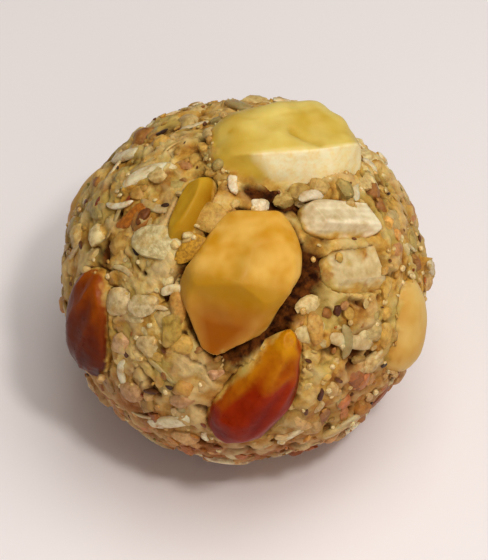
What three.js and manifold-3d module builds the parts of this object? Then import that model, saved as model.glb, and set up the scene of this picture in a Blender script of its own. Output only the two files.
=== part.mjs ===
// Dry fruit ladoo: a hand-rolled ball of ground nuts, coconut and seeds bound with ghee and sugar,
// with larger pieces of cashew, raisin, almond and coconut pressed into its surface.
// Units are millimetres, +Z is up, and the origin is at the middle of the flat underside's plane.
import * as THREE from 'three';
import { LoftGeometry } from 'three/addons/geometries/LoftGeometry.js';
import { ImprovedNoise } from 'three/addons/math/ImprovedNoise.js';
import { mergeVertices } from 'three/addons/utils/BufferGeometryUtils.js';
import Module from 'manifold-3d';

// Driving dimensions of the ball
const BALL_WIDTH = 45.6;
const BALL_HEIGHT = 43.4;
const REST_WIDTH = 17; // the spot that settled flat when the ball was set down
// Unevenness left by rolling between the palms: broad lumps, then smaller ones
const LUMPS = [
  { perRadius: 2.6, rise: 0.5 },
  { perRadius: 7.3, rise: 0.5 },
];
const BALL_DETAIL = 10; // each of the 20 starting faces is split this many times plus one

// How the dry fruit sits in the ball
const PIECE_GAP = 0.4;
const STATIONS = 10; // steps along a piece, with a ring of points at each end of a step
const SIDES = 12; // points round a ring
const ROUND_END = 0.9; // share of the quarter turn that the end rings reach
const FOLD_TWIST = 2; // radians that wrinkles turn through between a piece's middle and its ends

// Crumbs of broken nut and shreds of dry coconut that stand out of the surface
const CRUMB_COUNT = 116;
const CRUMB_SIZE = [2.8, 5.6]; // smallest and largest, across, most of them near the smallest
const CRUMB_CORNERS = [0.8, 1.2]; // how far corners reach out, as shares of an even crumb's
const CRUMB_FLATNESS = 0.7; // height over width
const CRUMB_PROUD = [0.4, 0.8]; // height that stands above the surface
const SHRED_COUNT = 46;
const SHRED_LENGTH = [4.5, 9];
const SHRED_WIDTH = 1.7;
const SHRED_DEPTH = 1.5;
const SHRED_PROUD = 0.55;
const SHRED_STEPS = 3;
const CLEARANCE = 0.8; // between a crumb or shred and the nearest piece of dry fruit
const BARE_HEIGHT = 0.6; // no crumb reaches this close to the underside's plane
const NUDGE = 0.3; // how far crumbs and shreds stray from even places, as a share of their spacing
const SEED = 20;

const GOLDEN_ANGLE = Math.PI * (3 - Math.sqrt(5));

// Pieces of dry fruit that show on the outside. Longitude and latitude are in degrees: longitude 0 faces
// the front (-Y) and grows towards +X. Spin turns a piece's length from due east towards north, and lift
// moves it out of the ball or, below zero, into it. Tilt leans a piece over about its own length.
const DRY_FRUIT = [
  { name: 'cashew_front', kind: 'cashew', lon: -2.4, lat: 49.6, spin: 77, lift: -2.2,
    form: { length: 19, width: 14.6, rise: 6, sink: 3, bend: 6, taper: 0, fullness: 1.9, tip: 1.5,
      blunt: 0.72, skew: -0.22, crest: 0.45 } },
  { name: 'cashew_sliver', kind: 'cashew', lon: -47, lat: 66.6, spin: 108, lift: -1.6,
    form: { length: 9.6, width: 3.9, rise: 3.2, sink: 3, bend: 16, taper: 0.1, fullness: 2.6 } },
  { name: 'cashew_top', kind: 'cashew', lon: 119, lat: 74, spin: -98, tilt: 12, lift: -2.1,
    form: { length: 19.6, width: 15, rise: 5, sink: 3.4, bend: 14, taper: 0.08, fullness: 2.7,
      boxiness: 0.85, cut: 0.62, cutLean: 0.5 } },
  { name: 'cashew_right', kind: 'cashew', lon: 65, lat: 6, spin: 54, lift: -1.9,
    form: { length: 12, width: 8, rise: 3.4, sink: 3, bend: 25, taper: -0.1, fullness: 2.5 } },
  { name: 'cashew_back', kind: 'cashew', lon: 172, lat: -26, spin: 14, lift: -2.9,
    form: { length: 25, width: 9.4, rise: 4.4, sink: 4, bend: 135, taper: 0.14, fullness: 2.6 } },
  { name: 'cashew_half', kind: 'cashew', lon: -133, lat: -1, spin: 6, lift: -2.8,
    form: { length: 18, width: 12, rise: 4.6, sink: 3, bend: 30, taper: 0.16, fullness: 2.5 } },
  { name: 'raisin_front', kind: 'raisin', lon: 6.5, lat: 12, spin: 58, lift: -2,
    form: { length: 17.7, width: 8.4, rise: 4.2, sink: 3.6, bend: 40, taper: -0.14, fullness: 1.7,
      tip: 2.5 } },
  { name: 'raisin_left', kind: 'raisin', lon: -60.5, lat: 11.5, spin: 102, lift: -2,
    form: { length: 14.5, width: 9.6, rise: 3.8, sink: 3.4, bend: 14, taper: -0.1, fullness: 2.2 } },
  { name: 'raisin_back', kind: 'raisin', lon: -176, lat: 15, spin: 4, lift: -2.3,
    form: { length: 13, width: 8, rise: 3.8, sink: 3.2, bend: 16, taper: 0.08, fullness: 2.2 } },
  { name: 'raisin_low', kind: 'raisin', lon: -132, lat: -40, spin: 20, lift: -1.9,
    form: { length: 12.5, width: 7.6, rise: 3.6, sink: 3.2, bend: 20, taper: -0.08, fullness: 2.2 } },
  { name: 'almond_back', kind: 'almond', lon: 120, lat: -9, spin: 12, lift: -2.3,
    form: { length: 15, width: 9.5, rise: 3.6, sink: 3, bend: 2, taper: -0.35, fullness: 2.2 } },
  { name: 'coconut_front', kind: 'coconut', lon: 67, lat: 53, spin: -50, lift: -1.2,
    form: { length: 11.2, width: 4.6, rise: 2, sink: 3, bend: 18, taper: -0.1, fullness: 3.4,
      boxiness: 0.65 } },
  { name: 'coconut_chip', kind: 'coconut', lon: 54, lat: 39, spin: -35, lift: -1.7,
    form: { length: 9.2, width: 5.4, rise: 1.9, sink: 2.4, bend: 6, taper: 0.12, fullness: 3.4,
      boxiness: 0.5 } },
  { name: 'coconut_back', kind: 'coconut', lon: 122, lat: -36, spin: 8, lift: -1,
    form: { length: 12, width: 5, rise: 1.9, sink: 3, bend: 18, taper: 0.08, fullness: 5, boxiness: 0.5 } },
];

// Hollows where the mass was not pressed up against its neighbours: how far they reach and how deep they go
const HOLLOWS = [
  { lon: 66, lat: 71, reach: 4.4, depth: 1.7 },
  { lon: 42, lat: 74, reach: 2, depth: 0.7 },
  { lon: 33, lat: 52, reach: 2.2, depth: 1.5 },
  { lon: 29, lat: 43, reach: 2.8, depth: 2 },
  { lon: 13, lat: 35, reach: 2.1, depth: 1.6 },
  { lon: -7, lat: 27.5, reach: 2.3, depth: 1.6 },
  { lon: 40, lat: 16, reach: 2.2, depth: 1.3 },
  { lon: -40, lat: 22, reach: 2.6, depth: 0.7 },
  { lon: 144, lat: 6, reach: 2.6, depth: 0.9 },
  { lon: -98, lat: 22, reach: 2.8, depth: 0.9 },
  { lon: -150, lat: 56, reach: 3, depth: 0.8 },
];

const FINISH = {
  mass: { color: 0xcbb387, roughness: 0.75, metalness: 0 },
  cashew: { color: 0xe6b24f, roughness: 0.45, metalness: 0 },
  raisin: { color: 0x9c3a12, roughness: 0.3, metalness: 0 },
  almond: { color: 0x8a4a25, roughness: 0.6, metalness: 0 },
  coconut: { color: 0xf0e6c8, roughness: 0.55, metalness: 0 },
};

// Raisins wrinkle lengthwise as they dry, and the other pieces are nearly smooth
const WRINKLES = {
  cashew: { folds: 0, foldDepth: 0 },
  raisin: { folds: 5, foldDepth: 0.07 },
  almond: { folds: 0, foldDepth: 0 },
  coconut: { folds: 0, foldDepth: 0 },
};

const wasm = await Module();
wasm.setup();
const noise = new ImprovedNoise();
const radians = THREE.MathUtils.degToRad;

// The same draws every time, each from 0 up to 1
function seededRandom(seed) {
  let state = seed;
  return () => {
    state = (state + 0x6d2b79f5) | 0;
    let mixed = Math.imul(state ^ (state >>> 15), state | 1);
    mixed ^= mixed + Math.imul(mixed ^ (mixed >>> 7), mixed | 61);
    return ((mixed ^ (mixed >>> 14)) >>> 0) / 2 ** 32;
  };
}

// Only positions, with each shared vertex kept once
function welded(geometry) {
  const bare = new THREE.BufferGeometry().copy(geometry);
  bare.deleteAttribute('normal');
  bare.deleteAttribute('uv');
  return mergeVertices(bare);
}

function solidOf(geometry) {
  const { attributes, index } = welded(geometry);
  return new wasm.Manifold(new wasm.Mesh({
    numProp: 3,
    vertProperties: new Float32Array(attributes.position.array),
    triVerts: new Uint32Array(index.array),
  }));
}

function geometryOf(solid) {
  const { vertProperties, triVerts } = solid.getMesh();
  const geometry = new THREE.BufferGeometry();
  geometry.setAttribute('position', new THREE.BufferAttribute(vertProperties, 3));
  geometry.setIndex(new THREE.BufferAttribute(triVerts, 1));
  geometry.computeVertexNormals();
  return geometry;
}

// The ball's middle is the origin while the pieces are placed; its flat underside is below it
const HALF_WIDTH = BALL_WIDTH / 2;
const REST_SHARE = Math.sqrt(1 - (REST_WIDTH / BALL_WIDTH) ** 2);
const HALF_HEIGHT = BALL_HEIGHT / (1 + REST_SHARE);
const UNDERSIDE = -HALF_HEIGHT * REST_SHARE;

function directionAt(lon, lat) {
  return new THREE.Vector3(
    Math.sin(lon) * Math.cos(lat),
    -Math.cos(lon) * Math.cos(lat),
    Math.sin(lat),
  );
}

function trueRadius(direction) {
  return 1 / Math.hypot(direction.x / HALF_WIDTH, direction.y / HALF_WIDTH, direction.z / HALF_HEIGHT);
}

// Uneven surface of the rolled ball
function surfaceRadius(direction) {
  let radius = trueRadius(direction);
  for (const { perRadius, rise } of LUMPS) {
    const { x, y, z } = direction.clone().multiplyScalar(perRadius);
    radius += rise * noise.noise(x, y, z);
  }
  for (const { lon, lat, reach, depth } of HOLLOWS) {
    const away = direction.angleTo(directionAt(radians(lon), radians(lat))) * HALF_WIDTH;
    radius -= depth * Math.exp(-((away / reach) ** 2));
  }
  return radius;
}

// Turn that stands a piece's +Z out of the ball, with its +X turned by spin from due east
function turnAt(lon, lat, spin) {
  const out = directionAt(lon, lat);
  const east = new THREE.Vector3(Math.cos(lon), Math.sin(lon), 0);
  const north = out.clone().cross(east);
  const along = east.multiplyScalar(Math.cos(spin)).addScaledVector(north, Math.sin(spin));
  const across = out.clone().cross(along);
  return new THREE.Quaternion().setFromRotationMatrix(new THREE.Matrix4().makeBasis(along, across, out));
}

// A closed body swept along an arc: width across it, rise above its seat and sink below it.
// Fullness runs from 1 for ends that come to a point to more than 2 for blunt ones, and tip is that of the
// starting end where it differs. A blunt far end stops short, at that share of the quarter turn.
// Skew slides one side along past the other. A crest lowers it evenly from a ridge at the middle of its
// length to that share at its ends.
// A cut leaves off one side beyond that share of the half width, as where a nut broke, and may lean back.
function sweptBody({ length, width, rise, sink, bend, taper, fullness, folds, foldDepth, ...shape }) {
  const { boxiness = 1, crest = 0, cut = 2, cutLean = 0, skew = 0 } = shape;
  const { tip = fullness, blunt = ROUND_END } = shape;
  const boxed = (v) => Math.sign(v) * Math.abs(v) ** boxiness;
  const arc = radians(bend);
  const arcRadius = length / arc;
  const sections = [];
  for (let i = 0; i <= STATIONS; i++) {
    const along = Math.sin((Math.PI / 2) * THREE.MathUtils.lerp(-ROUND_END, blunt, i / STATIONS));
    const turn = arc * along / 2;
    const full = along < 0 ? tip : fullness;
    const size = (1 - Math.abs(along) ** full) ** (1 / full) * (1 + taper * along);
    const ring = [];
    for (let j = 0; j < SIDES; j++) {
      const angle = 2 * Math.PI * (j + 0.5) / SIDES;
      const fold = 1 + foldDepth * Math.cos(folds * angle + FOLD_TWIST * along);
      const [side, up] = [Math.cos(angle), Math.sin(angle)].map(boxed);
      const height = up * fold * size * (up > 0 ? rise * (1 - crest * Math.abs(along)) : sink);
      const broken = -cut * size * width / 2 + cutLean * height;
      const across = Math.max(side * fold * size * width / 2, broken);
      const reach = arcRadius - across;
      const forward = reach * Math.sin(turn) + skew * across;
      ring.push(new THREE.Vector3(forward, arcRadius - reach * Math.cos(turn), height));
    }
    sections.push(ring);
  }
  return welded(new LoftGeometry(sections, { capStart: true, capEnd: true }));
}

// The same body grown by a gap all round, to cut its socket
function grownBy(geometry, gap) {
  const grown = geometry.clone();
  grown.computeVertexNormals();
  const { position, normal } = grown.attributes;
  for (let i = 0; i < position.count; i++) {
    const moved = new THREE.Vector3().fromBufferAttribute(position, i);
    moved.addScaledVector(new THREE.Vector3().fromBufferAttribute(normal, i), gap);
    position.setXYZ(i, moved.x, moved.y, moved.z);
  }
  return grown;
}

function dryFruitPiece({ name, kind, lon, lat, spin, lift, form, tilt = 0 }) {
  const seat = [radians(lon), radians(lat)];
  const out = directionAt(...seat);
  const piece = new THREE.Mesh(
    sweptBody({ ...form, ...WRINKLES[kind] }),
    new THREE.MeshStandardMaterial(FINISH[kind]),
  );
  piece.name = name;
  piece.position.copy(out).multiplyScalar(trueRadius(out) + lift);
  piece.quaternion.copy(turnAt(...seat, radians(spin)));
  piece.rotateX(radians(tilt));
  piece.updateMatrix();
  return piece;
}

// Rolled ball before anything is pressed into it
function rolledBall() {
  const geometry = welded(new THREE.IcosahedronGeometry(1, BALL_DETAIL));
  const { position } = geometry.attributes;
  for (let i = 0; i < position.count; i++) {
    const direction = new THREE.Vector3().fromBufferAttribute(position, i).normalize();
    const point = direction.clone().multiplyScalar(surfaceRadius(direction));
    position.setXYZ(i, point.x, point.y, point.z);
  }
  return geometry;
}

// Evenly spread places on the ball, each nudged a little, as longitude and latitude
function scatteredPlaces(count, random) {
  const spacing = Math.sqrt(4 * Math.PI / count);
  return Array.from({ length: count }, (_, i) => {
    const nudge = () => spacing * NUDGE * (random() - 0.5);
    const lat = Math.asin(1 - (2 * i + 1) / count) + nudge();
    return [i * GOLDEN_ANGLE + nudge() / Math.cos(lat), lat];
  });
}

// An angular crumb of nut, its middle at the origin, no wider than the room for it
function crumb(random, room) {
  const geometry = welded(new THREE.IcosahedronGeometry(0.5, 0));
  const { position } = geometry.attributes;
  const across = Math.min(THREE.MathUtils.lerp(...CRUMB_SIZE, random() ** 2), 2 * room);
  for (let i = 0; i < position.count; i++) {
    const corner = new THREE.Vector3().fromBufferAttribute(position, i);
    corner.multiplyScalar(across * THREE.MathUtils.lerp(...CRUMB_CORNERS, random()));
    position.setXYZ(i, corner.x, corner.y, corner.z * CRUMB_FLATNESS);
  }
  const proud = THREE.MathUtils.lerp(...CRUMB_PROUD, random());
  return { geometry, fits: across >= CRUMB_SIZE[0], lift: proud - CRUMB_FLATNESS * across / 2 };
}

// A strip of coconut that lies along the curve of the ball, no longer than the room for it
function shred(random, room) {
  const length = Math.min(THREE.MathUtils.lerp(...SHRED_LENGTH, random()), 2 * room);
  const geometry = new THREE.BoxGeometry(length, SHRED_WIDTH, SHRED_DEPTH, SHRED_STEPS, 1, 1);
  const { position } = geometry.attributes;
  for (let i = 0; i < position.count; i++) {
    const x = position.getX(i);
    const droop = x * x / BALL_WIDTH;
    position.setZ(i, position.getZ(i) - droop);
  }
  return { geometry, fits: length >= SHRED_LENGTH[0], lift: SHRED_PROUD - SHRED_DEPTH / 2 };
}

// Crumbs or shreds as solids in the ball's frame, left out where the dry fruit or the underside leaves
// no room for them
function scattered(make, count, random, fruitPoints) {
  const solids = [];
  for (const [lon, lat] of scatteredPlaces(count, random)) {
    const out = directionAt(lon, lat);
    const place = out.clone().multiplyScalar(surfaceRadius(out));
    const nearest = Math.min(...fruitPoints.map((point) => point.distanceTo(place)));
    const room = Math.min(nearest - CLEARANCE, place.z - UNDERSIDE - BARE_HEIGHT);
    const turn = turnAt(lon, lat, 2 * Math.PI * random());
    const { geometry, fits, lift } = make(random, room);
    if (fits) {
      place.addScaledVector(out, lift);
      const frame = new THREE.Matrix4().compose(place, turn, new THREE.Vector3(1, 1, 1));
      solids.push(solidOf(welded(geometry).applyMatrix4(frame)));
    }
  }
  return solids;
}

function pointsOf(mesh) {
  const { position } = mesh.geometry.attributes;
  return Array.from({ length: position.count }, (_, i) =>
    new THREE.Vector3().fromBufferAttribute(position, i).applyMatrix4(mesh.matrix));
}

// The ball with its crumbs and shreds fused on, a socket for each piece and its flat underside
function ladooMass(pieces) {
  const random = seededRandom(SEED);
  const fruitPoints = pieces.flatMap(pointsOf);
  const crumbs = scattered(crumb, CRUMB_COUNT, random, fruitPoints);
  const shreds = scattered(shred, SHRED_COUNT, random, fruitPoints);
  const sockets = pieces.map(({ geometry, matrix }) =>
    solidOf(grownBy(geometry, PIECE_GAP).applyMatrix4(matrix)));
  const floor = new THREE.BoxGeometry(2 * BALL_WIDTH, 2 * BALL_WIDTH, BALL_WIDTH);
  floor.translate(0, 0, UNDERSIDE - BALL_WIDTH / 2);

  let solid = solidOf(rolledBall());
  for (const extra of [...crumbs, ...shreds]) solid = solid.add(extra);
  for (const hollow of [...sockets, solidOf(floor)]) solid = solid.subtract(hollow);
  const [whole] = solid.decompose().sort((a, b) => b.volume() - a.volume());

  const mass = new THREE.Mesh(geometryOf(whole), new THREE.MeshStandardMaterial(FINISH.mass));
  mass.name = 'ladoo_mass';
  return mass;
}

const ladoo = new THREE.Group();
const pieces = DRY_FRUIT.map(dryFruitPiece);
ladoo.add(ladooMass(pieces), ...pieces);

ladoo.position.z = -UNDERSIDE;

export default ladoo;
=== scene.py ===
import math
from types import SimpleNamespace

import bmesh
import bpy
import numpy as np
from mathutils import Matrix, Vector, noise
from mathutils.bvhtree import BVHTree


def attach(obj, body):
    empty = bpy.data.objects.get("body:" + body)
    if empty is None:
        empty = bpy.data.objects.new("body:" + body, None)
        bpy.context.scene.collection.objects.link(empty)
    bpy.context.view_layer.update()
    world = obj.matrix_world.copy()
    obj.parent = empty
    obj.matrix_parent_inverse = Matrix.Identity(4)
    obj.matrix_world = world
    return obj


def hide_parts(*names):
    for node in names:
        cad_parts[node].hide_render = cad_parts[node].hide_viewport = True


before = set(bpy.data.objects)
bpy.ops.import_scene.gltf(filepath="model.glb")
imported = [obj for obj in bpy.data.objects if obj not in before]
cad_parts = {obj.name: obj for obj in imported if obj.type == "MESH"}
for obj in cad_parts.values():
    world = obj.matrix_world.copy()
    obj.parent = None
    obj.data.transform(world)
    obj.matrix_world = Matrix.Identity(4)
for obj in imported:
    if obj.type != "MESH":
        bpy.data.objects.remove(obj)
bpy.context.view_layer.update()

# The rolled mass: ground nuts, dry coconut and sugar bound with warm ghee and rolled between the palms.
# Its paste is pressed smooth in places and torn into pits and cracks in others. Painted shade darkens it
# wherever it lies deep, as beside the pieces pressed into it, painted light makes it paler where its lumps
# stand out, and low down it is painted rosier and darker, as the warm floor's reflection and shade fall
# there.
MM = 0.001
BALL_WIDTH = 45.6 * MM
BALL_HEIGHT = 43.4 * MM
REST_WIDTH = 17 * MM
PASTE_RECESS = 0.25 * MM
# Lumps all over the paste, the finest as small as ground meal, and clods where it is torn open:
# the size of each and how far it rises
PASTE_LUMPS = ((3.8 * MM, 0.55 * MM), (1.6 * MM, 0.3 * MM), (0.75 * MM, 0.22 * MM))
CLODS = ((1 * MM, 0.35 * MM), (0.45 * MM, 0.175 * MM))
# Pits and cracks: their size and depth, and the levels of their noise between which they set in.
# Only patches of the paste are cracked, and the cracks waver along three fields of noise far apart.
PIT_SIZE, PIT_DEPTH, PIT_LEVELS = 1.9 * MM, 0.7 * MM, (0.33, 0.53)
CRACK_SIZE, CRACK_DEPTH, CRACK_LEVELS = 3 * MM, 0.5 * MM, (-0.09, 0)
CRACKED_SIZE, CRACKED_LEVELS = 6 * MM, (-0.1, 0.15)
WAVER_SIZE, WAVER, WAVER_FIELDS = 2 * MM, 0.8 * MM, (0.1, 0.2, 0.3)
SOCKET_DEPTH = 3 * MM
# Paste creeps this many steps of the mesh into the gap round a piece, to just below its own level
CREEP_STEPS = 3
CREEP_SHORT = 0.15 * MM
# Depths below the ball's curve between which paste goes over to torn and to dark with painted shade
TORN_FROM, TORN_TO = 0.6 * MM, 1.6 * MM
SHADE_FROM, SHADE_TO = 0.5 * MM, 2 * MM
# Tones of the paste, each with the level of its mottle at which it shows
PASTE_MOTTLE = 2.2 * MM
PASTE_TONES = (
    (0.3, (146, 90, 26)),
    (0.44, (192, 140, 54)),
    (0.56, (212, 170, 84)),
    (0.7, (232, 204, 132)),
)
# Olive, brown and mossy patches: their size and detail, the noise at which each starts and is full,
# how much it covers at most, and its tone
PASTE_PATCHES = (
    (5 * MM, 3, 0.5, 0.6, 0.75, (184, 158, 80)),
    (3.3 * MM, 4, 0.56, 0.66, 0.65, (150, 92, 34)),
    (7 * MM, 4, 0.56, 0.68, 0.6, (136, 112, 48)),
)
# Tone of the painted light on the tops of the paste's lumps
PASTE_LUMP_LIGHT = (224, 200, 144)
# Painted reflection of the warm floor and painted shade, which make the paste rosy and darker low on the
# ball: its tone, the share of the ball's height below which it sets in, how fast and how far, and its patches
PASTE_LOW_BOUNCE_SHADE = (150, 82, 44)
LOW_SHADE_BELOW, LOW_SHADE_GAIN, LOW_SHADE_MOST = 0.68, 1.9, 0.85
LOW_SHADE_PATCHES = ((7 * MM, 0.45),)
# Tones of the painted shade where the paste lies deep
DEEP_SHADE_TONES = ((0.36, (44, 16, 2)), (0.64, (106, 56, 14)))
# Tears where the paste was not pressed up to the dry fruit or to itself: places that each runs through,
# as longitudes and latitudes in degrees, then how far it reaches to its sides and how deep it goes
TEARS = (
    (((33, 51), (27, 45), (18, 37), (6, 30.5), (-4, 25.5)), 1 * MM, 1.7 * MM),
    (((8, 80), (30, 77), (42, 72)), 0.9 * MM, 1.2 * MM),
    (((-32.4, 54.5), (-32.3, 47.6), (-33.4, 38.3)), 0.5 * MM, 1 * MM),
    (((-20.5, 32.5), (-15.1, 28), (-10, 24.5)), 0.55 * MM, 1 * MM),
    (((39, 17), (40, 15)), 1 * MM, 1.2 * MM),
    (((41, 49), (43, 47)), 0.6 * MM, 0.9 * MM),
    (((44, 33), (47, 30)), 0.5 * MM, 0.8 * MM),
    (((62, 30), (63, 27)), 0.5 * MM, 0.8 * MM),
    (((-31, 9), (-28, 5)), 0.6 * MM, 1 * MM),
    (((-72, 37), (-68, 34)), 0.6 * MM, 1 * MM),
    (((82, 21), (83, 14)), 0.6 * MM, 1 * MM),
    (((-24, -20), (-20, -21)), 0.6 * MM, 1 * MM),
    (((-4, -19), (-1, -19)), 0.7 * MM, 1 * MM),
    (((16, -19), (19, -18)), 0.6 * MM, 1 * MM),
)

rest_share = math.sqrt(1 - (REST_WIDTH / BALL_WIDTH) ** 2)
half_height = BALL_HEIGHT / (1 + rest_share)
ball_half = np.array((BALL_WIDTH / 2, BALL_WIDTH / 2, half_height))
ball_middle = np.array((0, 0, half_height * rest_share))
fruit_names = sorted(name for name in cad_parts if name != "ladoo_mass")


def way_to(lon, lat):
    """Direction from the ball's middle to a place on it."""
    return np.array((math.sin(lon) * math.cos(lat), -math.cos(lon) * math.cos(lat), math.sin(lat)))


def fade(values, start, end):
    """Shares that go from 0 to 1 while values go from a start to an end."""
    return np.clip((values - start) / (end - start), 0, 1)


def near(away, reach):
    """Shares that are 1 in the middle of a mark and fade out over its reach."""
    return np.exp(-(away / reach) ** 2)


def from_line(points, start, end):
    """Distance of each point from a straight line between two others."""
    run = np.subtract(end, start)
    share = np.clip((points - start) @ run / (run @ run), 0, 1)
    return np.linalg.norm(points - start - share[:, None] * run, axis=1)


def tear_depth(ways):
    """How deep the paste is torn open in some directions."""
    deepest = np.zeros(len(ways))
    for places, reach, depth in TEARS:
        stops = [way_to(*np.radians(place)) for place in places]
        for start, end in zip(stops, stops[1:]):
            away = from_line(ways, start, end) * BALL_WIDTH / 2
            deepest = np.maximum(deepest, depth * near(away, reach))
    return deepest


def true_reach(directions):
    """Distance from the ball's middle to a smooth ball of its size."""
    return 1 / np.linalg.norm(directions / ball_half, axis=-1)


def tree_of(names):
    """The facets of some solids, ready to be probed by rays."""
    points, faces = [], []
    for name in names:
        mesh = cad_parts[name].data
        first = len(points)
        points += [v.co.copy() for v in mesh.vertices]
        faces += [[first + i for i in p.vertices] for p in mesh.polygons]
    return BVHTree.FromPolygons(points, faces)


def reach_of(tree, direction):
    """Distance from the ball's middle to the outside of a solid, 0 where there is none."""
    start = ball_middle + 3 * half_height * direction
    hit = tree.ray_cast(Vector(start), Vector(-direction))[0]
    return 0 if hit is None else np.linalg.norm(np.array(hit) - ball_middle)


def soft_noise(points, across):
    """Smooth noise from -1 to 1 with lumps of about that size, one value a point."""
    return np.array([noise.noise(p) for p in map(Vector, points / across)])


def relief(points, layers):
    """Sum of some layers of noise, each with its size and how far it rises."""
    return sum(rise * soft_noise(points, across) for across, rise in layers)


def mesh_piece(name, points, faces, sharp_angle=None):
    """A new object from points and faces, shaded smooth but for edges sharper than an angle."""
    mesh = bpy.data.meshes.new(name)
    mesh.from_pydata(np.asarray(points).tolist(), [], faces)
    mesh.shade_smooth()
    if sharp_angle is not None:
        mesh.set_sharp_from_angle(angle=sharp_angle)
    piece = bpy.data.objects.new(name, mesh)
    bpy.context.scene.collection.objects.link(piece)
    return piece


def note(piece, name, values):
    """Keeps one number a point on a piece, for its finish to read."""
    attribute = piece.data.attributes.new(name, "FLOAT", "POINT")
    attribute.data.foreach_set("value", np.asarray(values, np.float32))


def paint(red, green, blue):
    """A colour given as it looks, in steps of 255, as the shader takes it."""
    steps = np.array((red, green, blue)) / 255
    linear = np.where(steps <= 0.04045, steps / 12.92, ((steps + 0.055) / 1.055) ** 2.4)
    return (*linear, 1)


def start_finish(name, **even):
    """A material and its shader, with the settings that are the same all over."""
    finish = bpy.data.materials.new(name)
    finish.use_nodes = True
    shader = finish.node_tree.nodes["Principled BSDF"]
    for socket, value in even.items():
        shader.inputs[socket.replace("_", " ")].default_value = value
    return finish, shader


def add_node(finish, kind, **inputs):
    """A node whose inputs are set, or joined to the outputs given for them."""
    node = finish.node_tree.nodes.new(kind)
    for name, value in inputs.items():
        socket = node.inputs[name]
        if isinstance(value, bpy.types.NodeSocket):
            finish.node_tree.links.new(value, socket)
        else:
            socket.default_value = value
    return node


def grain(finish, across, detail=3, roughness=0.6):
    """Noise with grains of about that size, fixed to the piece."""
    place = add_node(finish, "ShaderNodeTexCoord").outputs["Object"]
    texture = add_node(finish, "ShaderNodeTexNoise", Vector=place, Scale=1 / across, Detail=detail)
    texture.inputs["Roughness"].default_value = roughness
    return texture.outputs[0]


def tones(finish, share, stops):
    """Colours that follow a share from 0 to 1, each with its place on the way."""
    ramp = add_node(finish, "ShaderNodeValToRGB", Fac=share)
    marks = ramp.color_ramp.elements
    while len(marks) < len(stops):
        marks.new(0.5)
    for mark, (place, colour) in zip(marks, stops):
        mark.position = place
        mark.color = paint(*colour)
    return ramp.outputs["Color"]


def share_between(finish, value, start, end, most=1.0, least=0.0):
    """A share that goes from the least to the most while a value goes from a start to an end."""
    scale = add_node(finish, "ShaderNodeMapRange", Value=value)
    limits = {"From Min": start, "From Max": end, "To Min": least, "To Max": most}
    for socket, limit in limits.items():
        scale.inputs[socket].default_value = limit
    return scale.outputs["Result"]


def kept(finish, name, output="Fac"):
    """What a piece keeps at each point under a name."""
    attribute = add_node(finish, "ShaderNodeAttribute")
    attribute.attribute_name = name
    return attribute.outputs[output]


def blend_colours(finish, share, first, second, way="MIX"):
    """The first colour going over to the second, or another way of mixing them, by a share."""
    mix = add_node(finish, "ShaderNodeMixRGB", Fac=share, Color1=first, Color2=second)
    mix.blend_type = way
    return mix.outputs["Color"]


def roughen(finish, shader, across, depth):
    """Fine relief with grains of about that size, below the size of the mesh's own."""
    bump = add_node(finish, "ShaderNodeBump", Height=grain(finish, across), Distance=depth, Strength=1.0)
    finish.node_tree.links.new(bump.outputs["Normal"], shader.inputs["Normal"])


def vary_gloss(finish, shader, share, low, high, start=0.3, end=0.7):
    """Roughness that goes from low to high while a share goes from a start to an end."""
    gloss = share_between(finish, share, start, end, high, low)
    finish.node_tree.links.new(gloss, shader.inputs["Roughness"])


def colour_by(finish, shader, colour):
    finish.node_tree.links.new(colour, shader.inputs["Base Color"])


def paste_colour(finish):
    """Mottled tan of the paste, greyer where coconut is thick in it and browner where ghee is, and rosier and
    darker low down with painted floor reflection and painted shade.
    """
    colour = tones(finish, grain(finish, PASTE_MOTTLE, detail=5, roughness=0.62), PASTE_TONES)
    for across, detail, start, full, most, tone in PASTE_PATCHES:
        share = share_between(finish, grain(finish, across, detail), start, full, most)
        colour = blend_colours(finish, share, colour, paint(*tone))
    return blend_colours(finish, kept(finish, "low_bounce_shade"), colour, paint(*PASTE_LOW_BOUNCE_SHADE))


def highest_near(values, edges, steps):
    """The highest value within some steps of each point."""
    for _ in range(steps):
        spread = values.copy()
        for a, b in (edges.T, edges.T[::-1]):
            np.maximum.at(spread, a, values[b])
        values = spread
    return values


def note_low_bounce_shade(piece, points):
    """Keeps how much painted floor reflection and painted shade a piece takes at each point: more of it low
    down.
    """
    low = LOW_SHADE_BELOW - np.asarray(points)[:, 2] / BALL_HEIGHT
    note(piece, "low_bounce_shade", np.clip(LOW_SHADE_GAIN * low + relief(points, LOW_SHADE_PATCHES), 0, LOW_SHADE_MOST))


mass_tree = tree_of(["ladoo_mass"])
fruit_tree = tree_of(fruit_names)

ball = bmesh.new()
bmesh.ops.create_icosphere(ball, subdivisions=6, radius=1)
bmesh.ops.subdivide_edges(ball, edges=ball.edges[:], cuts=2, use_grid_fill=True)
ball.verts.index_update()
ways_out = np.array([v.co.normalized() for v in ball.verts])
ball_faces = [[v.index for v in f.verts] for f in ball.faces]
ball_edges = np.array([[v.index for v in e.verts] for e in ball.edges])
ball.free()

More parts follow.
